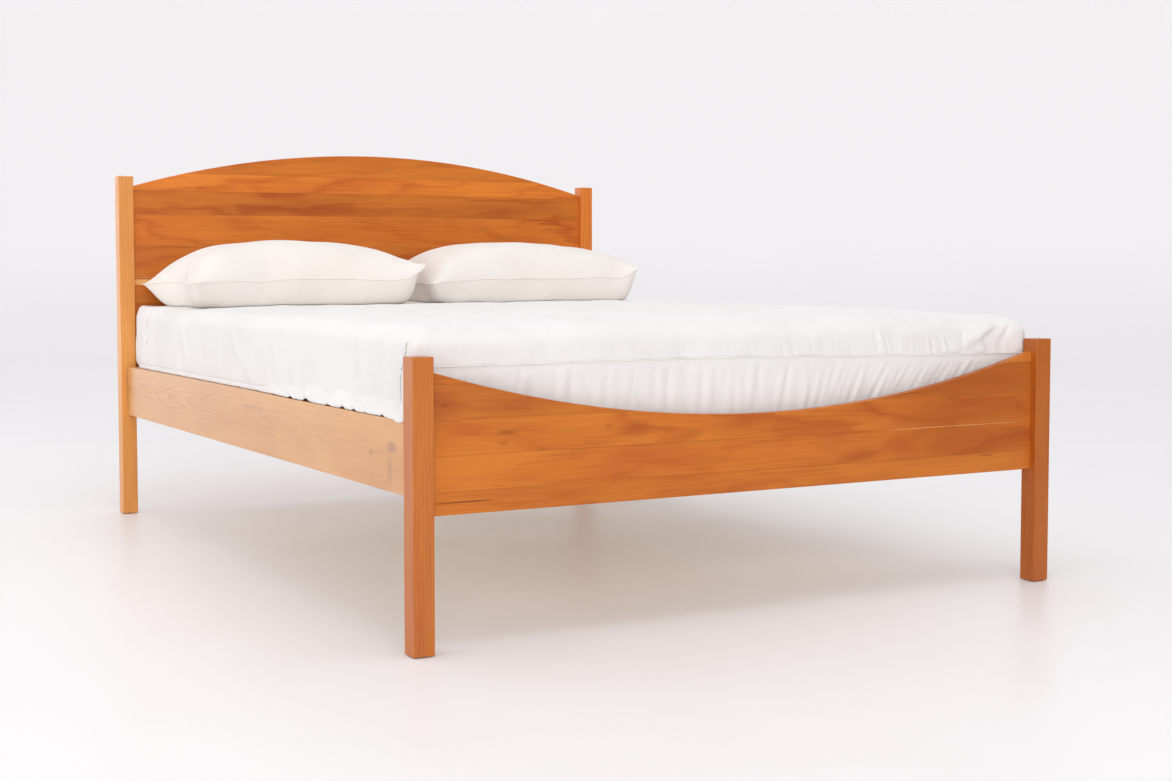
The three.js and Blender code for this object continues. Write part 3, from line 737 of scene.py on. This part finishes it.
def add_cover():
    half, top = HALF, COVER_HIGH[2]
    sharp, faces, flat = block_grid(half, top, HEM_Z, COVER_CELL, closed=False)
    rear = ease(sharp[:, 1], half[1] - 0.16, half[1] - 0.04) * ease(abs(sharp[:, 0]), half[0] - 0.2, half[0])
    places = rounded(sharp, half, top, CORNER, 0.04 - 0.03 * rear)
    places[:, :2] += MIDDLE[:2]
    push(places, outward_of(places), wall_share(places) * 0.0008 * ripples(places, 3, 0.07))
    places[:, 2] += (1 - wall_share(places)) * 0.0008 * ripples(places, 4, 0.07)
    piece = add_mesh("cover_top", places, faces, flat)
    end_wall = wall_share(places) * ease(abs(places[:, 1] - MIDDLE[1]), half[1] - 0.05, half[1] - 0.01)
    hold = np.where(places[:, 2] < 0.462, 1.0, 0.45 - 0.2 * end_wall)
    settle(piece, hold, 14, 20.0, 0.6, shrink_min=-0.022, pin_stiffness=0.35, quality=4, mass=0.3)
    settled = hold_within(places_of(piece), places, 0.0032)
    push(places, relaxed(piece, settled - places, [], 9), 0.4 + 0.5 * end_wall)
    set_places(piece, places)
    soften(piece)
    # the folds, the crown and the corner seams come after the cloth has settled
    places = places_of(piece)
    x, y, z = places.T
    wall, out = wall_share(places), outward_of(places)
    side = abs(out[:, 0]) ** 4
    z += top_swell(x, y) * (1 - ease(top - z, 0.02, 0.09))
    push(places, out, wall * (side * (out[:, 0] < 0)) * fold_height(SIDE_FOLDS, y, z, 0.012))
    foot = abs(out[:, 1]) ** 3 * (out[:, 1] < 0)
    push(places, out, wall * foot * fold_height(FOOT_FOLDS, x, z, 0.003))
    for end, face in ENDS.items():
        near = half[1] - face * (y - MIDDLE[1]) - seam_distance(end, z)
        tall = ease(z, RAIL_TOP - 0.004, RAIL_TOP + 0.01) * (1 - ease(z, 0.59, 0.61)) * side
        seam = np.exp(-(near / 0.004) ** 2) * tall
        puff = np.exp(-((abs(near) - 0.016) / 0.011) ** 2) * tall
        pucker = 1 + 0.5 * np.sin(z * 2 * math.pi / 0.017)
        push(places, out, wall * (PUFF * puff * pucker - GROOVE * seam))
    # upright wrinkles of the end bands, gathered by the seam below them
    ends = wall * abs(out[:, 1]) ** 3
    seam_z = np.where(y < 0, seam_height(x, "foot"), SEAM_Z)
    band = np.exp(-((z - seam_z) / 0.04) ** 2) * (z > seam_z - 0.02)
    crowd = 0.22 + 0.78 * ease(x, -0.15, 0.62)
    flow = np.column_stack((x + 0.25 * (z - seam_z), 0.12 * z, 0 * z))
    wrinkle = ripples(flow, 21, 0.034, 12) + 0.7 * ripples(flow, 22, 0.015, 14)
    push(places, out, ends * band * crowd * ease(z - seam_z, 0.0, 0.009) * 0.0025 * wrinkle)
    push(places, out, ends * -0.006 * (1 - ease(z, seam_z - 0.007, seam_z + 0.002)))
    set_places(piece, swell_walls(places))
    thick = piece.modifiers.new("thick", "SOLIDIFY")
    thick.thickness = COVER_THICK
    thick.offset = -1
    return piece


SKIRT_CLEARANCE = 0.0045
SKIRT_GRID = (19, 331)


def plan_path(distance):
    """Places along the skirt's plan, at distances from the middle of its foot end, round both corners,
    and the distance at which a long side begins."""
    hx, hy = HALF[0] + SKIRT_CLEARANCE, HALF[1] + SKIRT_CLEARANCE
    radius = CORNER + SKIRT_CLEARANCE
    straight = hx - radius
    arc = radius * math.pi / 2
    away, hand = abs(distance), np.sign(distance)
    turn = np.clip((away - straight) / radius, 0, math.pi / 2)
    x = hand * (np.minimum(away, straight) + radius * np.sin(turn))
    y = -hy + radius * (1 - np.cos(turn)) + np.maximum(away - straight - arc, 0)
    return x, y, straight + arc


def add_skirt(end):
    """A gathered skirt below an end's seam; its sides tuck in behind the walls at both corners."""
    face = ENDS[end]
    rows, columns = SKIRT_GRID
    shares = np.linspace(-1, 1, columns)
    crowd = 1.16 + 0.3 * ease(-face * shares, -0.2, 0.7)
    cut_run = running((crowd[1:] + crowd[:-1]) / 2)
    reach = float(plan_path(np.zeros(1))[2]) + 0.006
    x, y, _ = plan_path(shares * reach)
    places, cut = [], []
    for share in np.linspace(0, 1, rows):
        level = (1 - share) * (seam_height(x, end) + 0.001) + share * (HEM_Z + 0.004)
        places.append(np.column_stack((x, -face * y, level)))
        cut.append(np.column_stack((cut_run * 2 * reach / (columns - 1), np.zeros(columns), level)))
    places, cut = np.concatenate(places), np.concatenate(cut)
    seam_z = np.tile(seam_height(x, end), rows)
    places[:, 1] -= face * 0.0042 * (1 - ease(seam_z - places[:, 2], 0.0, 0.014))
    tuck = ease(np.tile(abs(shares), rows), 1 - 0.03 / reach, 1 - 0.004 / reach)
    places[:, 0] -= np.sign(places[:, 0]) * 0.009 * tuck
    places[:, :2] += MIDDLE[:2]
    start = places.copy()
    waves = ripples(cut * (1, 1, 0.3), 31 + face, 0.036)
    push(places, outward_of(places), 0.0018 * waves * ease(seam_z - places[:, 2], 0, 0.03))
    piece = add_mesh(f"cover_skirt_{end}", places, grid_faces(rows, columns, turned=face < 0), cut[:, (0, 2)])
    settle(piece, held_rim(rows, columns, 0.0).ravel(), 30, 25.0, 0.2, cut, 0.1, shrink_min=0,
           pin_stiffness=1, quality=6, mass=0.2)
    places = hold_within(places_of(piece), start, 0.0115)
    # the pleats lean to one side as they go down, and tuck in behind the rails
    x, _, z = places.T
    middle = 1 - ease(abs(start[:, 0]), 0.62, 0.73)
    x += face * 0.75 * (seam_z - z) * ease(-face * x, -0.1, 0.65) * middle
    swell_walls(places)
    limit = abs(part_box("side_rail_left")[1].x) - 0.0015
    x[:] = np.where(z < RAIL_TOP + 0.006, np.clip(x, -limit, limit), x)
    set_places(piece, places)
    soften(piece)
    top_row = start[3:columns - 3]
    top_row = swell_walls(top_row + outward_of(top_row) * 0.0008)
    return piece, add_mesh(f"cover_seam_{end}", *tube(top_row, 0.0013))


HEM_PROFILE = [(0.0, 0.03), (0.28, 0.0255), (0.62, 0.0185), (0.88, 0.0115), (1.0, 0.0055), (0.9, 0.0015)]
HEM_GATHER = (1.1, 1.3)
HEM_GRID = (9, 381)
HEM_GAP = 0.0009  # how far the hem stays above the rail


def add_hem(side):
    """The ruffled hem casing that lies on a side rail: out from the cover's wall and over the rail.

    Its rear half lies close and smooth; its front half is a fuller, irregular ruffle."""
    hand = -1 if side == "left" else 1
    outer = max(abs(corner.x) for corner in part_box(f"side_rail_{side}"))
    rows, columns = HEM_GRID
    y = np.linspace(COVER_LOW[1] + 0.02, COVER_HIGH[1] - 0.016, columns)
    along = abs(y - MIDDLE[1])
    past = np.clip(along - (HALF[1] - CORNER), 0, CORNER)
    corner = ease(along / HALF[1], 0.9, 1.0) * np.where(y < 0, 0.011, -0.005)
    wall = HALF[0] - CORNER + np.sqrt(CORNER ** 2 - past ** 2) + 0.0115 + corner
    front = ruffled(y)
    spots = np.column_stack((y, 0 * y, 0 * y))
    gather = np.interp(front, (0, 1), HEM_GATHER)
    cut_y = running(np.diff(y) * (gather[1:] + gather[:-1]) / 2)
    ends = ease(y - y[0], 0, 0.028) * ease(y[-1] - y, 0, 0.02)
    tall = 0.43 + 0.69 * front + 0.16 * front * ripples(spots, 55 + hand, 0.11)
    tall *= 0.45 + 0.55 * ends
    narrow = (0.46 + 0.54 * front) * (0.5 + 0.5 * ends)
    close = (0.32 + 0.68 * front) * (1 - 0.6 * ease(y, COVER_HIGH[1] - 0.1, COVER_HIGH[1] - 0.045)) * ends
    gap = 0.0038 * front * np.clip(ripples(spots, 57 + hand, 0.045) - 0.1, 0, 1.2)
    # here and there the hem slips down over the rail's outer face
    slip = np.clip(0.5 + 0.5 * ripples(spots, 51 + hand, 0.3), 0, 1.5)
    slip = 0.003 * slip * front + 0.0075 * ease(-y, 0.9, 0.955)
    shares = np.linspace(0, 1, rows)
    knots = np.linspace(0, 1, len(HEM_PROFILE))
    reach, rise = (np.interp(shares, knots, values) for values in zip(*HEM_PROFILE))
    run = running(np.hypot(np.diff(reach) * (0.8 * (outer - HALF[0] - 0.011)), np.diff(rise)))
    places, cut = [], []
    for out, up, down in zip(reach, rise, run):
        over = slip * ease(out, 0.7, 1.0) * ends
        x = wall + (outer - wall) * out * close + 0.35 * over + 0.0016 * (out > 0.9) * front * ends
        z = RAIL_TOP + up * tall + gap * ease(out, 0.5, 1.0) - over
        places.append(np.column_stack((hand * x, y, z)))
        cut.append(np.column_stack((cut_y, np.zeros(columns), -down * narrow)))
    places, cut = np.concatenate(places), np.concatenate(cut)
    start = places.copy()
    free = np.repeat(ease(shares, 0, 0.3), columns)
    places[:, 2] += 0.0012 * ripples(cut, 41 + hand, 0.035) * free
    piece = add_mesh(f"cover_hem_{side}", places, grid_faces(rows, columns, turned=hand > 0), cut[:, (0, 2)])
    hold = held_rim(rows, columns, 0.02)
    hold[-1] = 0.2
    settle(piece, hold.ravel(), 24, 20.0, 0.12, cut, shrink_min=0, pin_stiffness=0.8, quality=5, mass=0.2)
    places = hold_within(places_of(piece), start, np.tile(0.0022 + 0.003 * front, rows))
    over_rail = (abs(places[:, 0]) < outer + 0.0012) & (places[:, 2] < RAIL_TOP + HEM_GAP)
    places[over_rail, 2] = RAIL_TOP + HEM_GAP
    set_places(piece, places)
    soften(piece)
    return piece


def surface_of(piece):
    return BVHTree.FromObject(piece, bpy.context.evaluated_depsgraph_get())


def add_stitches(cover, end):
    """Uneven stitches along the two corner seams of an end, laid on the cover as it really lies."""
    face = ENDS[end]
    rng = np.random.default_rng(72 + face)
    tree = surface_of(cover)
    stitches = []
    for hand in (-1, 1):
        z = RAIL_TOP + 0.016
        while z < SEAM_Z + 0.048:
            length = rng.uniform(0.005, 0.01)
            heights = z + np.linspace(0, length, 4)
            y = MIDDLE[1] + face * (HALF[1] - seam_distance(end, heights))
            y = y + rng.uniform(-0.001, 0.001, 4)
            hits = [tree.ray_cast(Vector((hand, a, b)), Vector((-hand, 0, 0)))[0] for a, b in zip(y, heights)]
            path = [(spot.x + hand * 0.0003, spot.y, spot.z) for spot in hits]
            tight = 1.0 if end == "foot" or 0.48 < z < 0.548 else 0.45
            stitches.append(tube(path, tight * rng.uniform(0.0009, 0.0014), 6))
            z += length + rng.uniform(0.0004, 0.0024)
    return merge(f"cover_stitches_{end}", stitches)


def ticking_material():
    """White mattress ticking: a knitted face with woven-in stripes."""
    net = Net("mattress_ticking")
    place = net.coords()
    split = net.split(place)
    stripe = net.math("SINE", net.times(net.plus(split[0], split[1]), 2 * math.pi / 0.024))
    knit = net.noise(place, 900.0, 2)
    weight = net.plus(net.band(stripe, 0.4, 0.9, 0.0, 0.35),
                      net.band(net.noise(place, 6.0, 3), 0.3, 0.7, 0.0, 0.3))
    colour = net.mix(weight, linear(232, 230, 226), linear(206, 203, 198))
    height = net.plus(net.times(stripe, 0.4), net.times(knit, 0.5))
    return net.surface(colour, net.band(knit, 0.3, 0.7, 0.8, 0.95), height, 0.5, 0.001, {"Sheen Weight": 0.3})


MATTRESS_CORNER = 0.062
TAPE_TURN = 0.055
TAPE_RISE = 0.012


def add_mattress():
    """The mattress under the cover: a rounded block in ticking, with a taped edge above and below."""
    low, high = box_of("mattress")
    half = (high - low) / 2 - (0.012, 0.016, 0)
    top, bottom = high[2] - 0.005, low[2]
    sharp, faces, flat = block_grid(half, top, bottom, (0.03, 0.03, 0.012), closed=True)
    places = rounded(sharp, half, top, MATTRESS_CORNER, 0.03, bottom)
    places[:, :2] += MIDDLE[:2]
    z = places[:, 2]
    sag = ease(abs(z - (top + bottom) / 2), 0.0, 0.1)
    push(places, outward_of(places), 0.004 * (sag - 1) * (z < top) * (z > bottom))
    body = add_mesh("mattress_body", places, faces, flat)
    soften(body)
    angles = np.linspace(0, 2 * math.pi, 361)[:-1]
    turns = np.column_stack((np.cos(angles), np.sin(angles)))
    outline = np.sign(turns) * (half[:2] - MATTRESS_CORNER) + TAPE_TURN * turns + MIDDLE[:2]
    tapes = [tube(np.column_stack((outline, np.full(len(outline), height))), 0.0045, 10, closed=True)
             for height in (top - TAPE_RISE, bottom + TAPE_RISE)]
    return body, merge("mattress_tape", tapes)


def dress_bed():
    cover_cloth = cotton_material("cover_cotton", (238, 236, 234), (226, 223, 221), crease=0.1)
    seam_cloth = cotton_material("seam_cotton", (238, 234, 230), (224, 220, 216))
    threads = {"foot": cotton_material("thread_grey", (190, 182, 174), (158, 148, 138)),
               "head": cotton_material("thread_brown", (196, 152, 108), (160, 108, 62))}
    ticking = ticking_material()
    cover = add_cover()
    trims, skirts = [], []
    for end, thread in threads.items():
        skirt, bead = add_skirt(end)
        skirts.append(skirt)
        stitches = add_stitches(cover, end)
        bead.data.materials.append(seam_cloth)
        stitches.data.materials.append(thread)
        trims += [bead, stitches]
    skirts += [add_hem("left"), add_hem("right")]
    body, tape = add_mattress()
    for piece in [cover, *skirts]:
        piece.data.materials.append(cover_cloth)
    for piece in (body, tape):
        piece.data.materials.append(ticking)
    for piece in [cover, *skirts, *trims, body, tape]:
        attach(piece, "mattress")
    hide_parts("mattress_cover")
    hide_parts("mattress")
    return cover


# ---------------------------------------------------------------- pillows
PILLOW_CUT = (0.762, 0.508)
PILLOW_CELL = 0.0135
WELT_RADIUS = 0.0021
FLATTENING = (0.86, 1.14)  # how deep a pillow lies below its middle, and how high it stands above


def pillow_grid():
    """Two layers of cloth that share their sewn edge: the places, faces, layout and edge loop."""
    long, wide = PILLOW_CUT
    columns, rows = (round(size / PILLOW_CELL) + 1 for size in PILLOW_CUT)
    places, flat, index = [], [], {}
    for side in (1, -1):
        for i, v in enumerate(np.linspace(-0.5, 0.5, rows)):
            for j, u in enumerate(np.linspace(-0.5, 0.5, columns)):
                if side < 0 and (i in (0, rows - 1) or j in (0, columns - 1)):
                    index[side, i, j] = index[1, i, j]
                    continue
                index[side, i, j] = len(places)
                pull = 1 - 0.012 * ((2 * u) ** 8 * (2 * v) ** 8)
                dome = (1 - (2 * u) ** 2) * (1 - (2 * v) ** 2)
                places.append((u * long * pull, v * wide * pull, side * 0.012 * dome))
                flat.append((u * long, v * wide))
    faces = []
    for side in (1, -1):
        for i in range(rows - 1):
            for j in range(columns - 1):
                face = tuple(index[side, i + a, j + b] for a, b in ((0, 0), (0, 1), (1, 1), (1, 0)))
                faces.append(face[::side])
    loop = [index[1, i, j] for j, i in rim_of(columns - 1, rows - 1)]
    return np.array(places), faces, np.array(flat), loop


def smooth_loop(edge, corners):
    """A sewn edge with its small gathers evened out, its corners kept."""
    count = len(edge)
    steps = abs(np.arange(count)[:, None] - np.array(corners))
    away = np.minimum(steps, count - steps).min(axis=1)
    share = 0.5 * ease(away, 0.5, 4)[:, None]
    for _ in range(14):
        edge = edge + share * ((np.roll(edge, 1, axis=0) + np.roll(edge, -1, axis=0)) / 2 - edge)
    return edge


def add_pillow(node, seed, yaw, raised, longer, boxy, under):
    """A pillow blown up from its cut cloth, then settled on the cover.

    raised lifts its right end's edge, longer draws that end out, and boxy squares it. under is the
    surface that it lies on."""
    low, high = box_of(node)
    size = high - low
    places, faces, flat, loop = pillow_grid()
    places[:, 2] += 0.002 * ripples(places, seed, 0.12) * (abs(places[:, 2]) > 1e-6)
    piece = add_mesh(f"{node}_case", places, faces, flat)
    settle(piece, np.zeros(len(places)), 34, 40.0, 0.6, shrink_min=0, pin_stiffness=1, quality=5,
           mass=0.25, use_pressure=True, uniform_pressure_force=7.0)
    shape = places_of(piece)
    corners = [int(np.argmax(flat @ (x, y))) for x in (-1, 1) for y in (-1, 1)]
    shape[loop] = smooth_loop(shape[loop], [loop.index(corner) for corner in corners])
    shape = shape + 0.85 * (relaxed(piece, shape, loop, 60) - shape)
    shape -= (shape.min(axis=0) + shape.max(axis=0)) / 2
    shape *= size / np.ptp(shape, axis=0)
    # the stuffing settles: a flat underside with steep walls, a crown above, and corners that droop
    x, y, z = shape.T
    half = size[2] / 2
    below, above = (half * share for share in FLATTENING)
    deep, tall = np.clip(-z / half, 0, 1), np.clip(z / half, 0, 1)
    reach = x / size[0] * 2
    right, left = ease(reach, 0.45, 1.0), ease(-reach, 0.45, 1.0)
    arch = 1 - (0.36 - 0.1 * right) * reach ** 2
    crown = above * (1 - (1 - tall) ** (1.75 + boxy * right)) * arch
    steep = 4.5 + (1.5 + 2.6 * boxy) * right + 1.7 * left
    z[:] = np.where(z < 0, -below * (1 - (1 - deep) ** steep), crown)
    blunt = right * ease(-y / size[1] * 2, 0.7, 1.0)
    x -= 0.012 * boxy * blunt
    y += 0.006 * boxy * blunt
    z += raised * (ease(reach, 0.78, 1.0) * ease(z, -0.9 * below, 0.0))
    z -= 0.016 * abs(np.minimum(reach, 0)) ** 6
    x += longer * ease(reach, -0.2, 1.0) - 0.008 * ease(-reach, 0.3, 1.0)
    z += 0.0025 * ripples(shape, seed + 5, 0.16)
    turn = math.radians(yaw)
    shape[:, :2] = shape[:, :2] @ np.array([[math.cos(turn), math.sin(turn)],
                                            [-math.sin(turn), math.cos(turn)]])
    shape += (low + high) / 2
    z += low[2] + below - (low[2] + high[2]) / 2
    set_places(piece, shape)
    soften(piece)
    shape = places_of(piece)
    for place in shape:
        spot = under.ray_cast(Vector((*place[:2], 2.0)), Vector((0, 0, -1)))[0]
        if spot is not None:
            place[2] = max(place[2], spot.z + 0.001)
    set_places(piece, shape)
    edge = shape[loop]
    outward = edge - edge.mean(axis=0)
    outward[:, 2] = 0
    outward /= np.linalg.norm(outward, axis=1)[:, None]
    bead = add_mesh(f"{node}_welt", *tube(edge + outward * 0.0006, WELT_RADIUS, closed=True))
    for made in (piece, bead):
        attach(made, node)
    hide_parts(node)
    return piece, bead


def dress_pillows(cover):
    under = surface_of(cover)
    cloth = cotton_material("pillow_cotton", (242, 236, 230), (232, 223, 213), crease=0.05)
    for node, seed, yaw, raised, longer, boxy in (("pillow_left", 5, 0.6, 0.038, 0.022, 0.3),
                                                  ("pillow_right", 8, -0.4, 0.03, 0.03, 1.6)):
        for piece in add_pillow(node, seed, yaw, raised, longer, boxy, under):
            piece.data.materials.append(cloth)


# ---------------------------------------------------------------- stage and light
BOWL_RADIUS = 9.0
BOWL_FILLET = 3.5
BOWL_HEIGHT = 7.0
BOWL_STEPS = 96
FILLET_STEPS = 16
WALL_GLOW = 0.06
SKY = (0.97, 0.975, 1.0, 1)
SKY_STRENGTH = 0.92


def add_stage():
    """A round studio sweep: a pale floor that curves up into a pale wall on every side."""
    profile = [(BOWL_RADIUS * 0.3, 0.0), (BOWL_RADIUS * 0.65, 0.0)]
    for i in range(FILLET_STEPS + 1):
        turn = math.pi / 2 * i / FILLET_STEPS
        profile.append((BOWL_RADIUS + BOWL_FILLET * math.sin(turn), BOWL_FILLET * (1 - math.cos(turn))))
    profile.append((BOWL_RADIUS + BOWL_FILLET, BOWL_HEIGHT))
    angles = [2 * math.pi * k / BOWL_STEPS for k in range(BOWL_STEPS)]
    places = [(radius * math.cos(a), radius * math.sin(a), height) for radius, height in profile
              for a in angles]
    faces = grid_faces(len(profile), BOWL_STEPS, closed=True, turned=True)
    faces += [(len(places), k, (k + 1) % BOWL_STEPS) for k in range(BOWL_STEPS)]
    floor = add_mesh("studio_floor", [*places, (0, 0, 0)], faces)
    net = Net("studio_paper")
    place = net.coords()
    floor.data.materials.append(net.shade({
        "Base Color": net.mix(net.noise(place, 0.9, 2), linear(244, 242, 242), linear(247, 245, 245)),
        "Roughness": net.band(net.noise(place, 3.0, 3), 0.3, 0.7, 0.34, 0.42),
        "Emission Strength": net.band(net.split(place)[2], 0.0, 1.2, 0.0, WALL_GLOW),
        "Emission Color": (1.0, 0.985, 0.99, 1), "Specular IOR Level": 0.3}))


def aim(thing, place, target, axis):
    """Puts a thing that the camera doesn't see at a place, facing a target."""
    thing.location = place
    thing.rotation_euler = (Vector(target) - Vector(place)).to_track_quat(axis, "Y").to_euler()
    thing.visible_camera = False


def add_flag(name, place, target, size):
    """A dark studio flag: it keeps one side's reflections and fill low."""
    bpy.ops.mesh.primitive_plane_add(size=1)
    flag = bpy.context.object
    flag.name = name
    flag.scale = (*size, 1)
    aim(flag, place, target, "Z")
    flag.data.materials.append(Net(name).shade({"Base Color": (0.15, 0.15, 0.15, 1)}))


def add_area(name, place, target, size, power, colour=(1, 1, 1)):
    data = bpy.data.lights.new(name, "AREA")
    data.shape = "RECTANGLE"
    data.size, data.size_y = size
    data.energy = power
    data.color = colour
    lamp = bpy.data.objects.new(name, data)
    aim(lamp, place, target, "-Z")
    SCENE.collection.objects.link(lamp)
    return lamp


def add_light():
    world = bpy.data.worlds.new("world")
    world.use_nodes = True
    sky = world.node_tree.nodes["Background"].inputs
    sky["Color"].default_value = SKY
    sky["Strength"].default_value = SKY_STRENGTH
    SCENE.world = world
    SCENE.view_settings.view_transform = "Standard"
    add_area("left_softbox", (-6.0, 0.8, 2.2), (0, 0, 0.5), (4.5, 3.4), 46, (1.0, 0.985, 0.98))
    add_area("front_softbox", (-4.0, -10.4, 4.0), (0, 0, 0.6), (6.0, 4.0), 355)
    add_area("top_softbox", (-0.4, -1.6, 4.4), (0, 0.9, 0.7), (3.0, 2.0), 22)
    under = add_area("under_fill", (0, 0, 0.285), (0, 0.001, 0), (1.3, 1.9), 1.7, (1.0, 0.91, 0.8))
    under.visible_glossy = False
    # a low light whose mirror image lies on the posts and side rails, and on nothing else
    glare = add_area("back_left_glare", (-3.6, 6.4, 0.7), (-0.8, 0, 0.35), (5.0, 1.9), 28, (1.0, 0.93, 0.82))
    glare.visible_diffuse = False
    wood = bpy.data.collections.new("glare_on_wood")
    for node in named("side_rail_", "post_foot_", "post_head_"):
        wood.objects.link(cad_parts[node])
    glare.light_linking.receiver_collection = wood
    add_flag("right_flag", (5.6, -5.2, 2.2), (0, 0, 0.6), (9.0, 5.0))


# ---------------------------------------------------------------- build
add_camera()
add_stage()
add_light()
dress_wood()
dress_hidden()
dress_pillows(dress_bed())
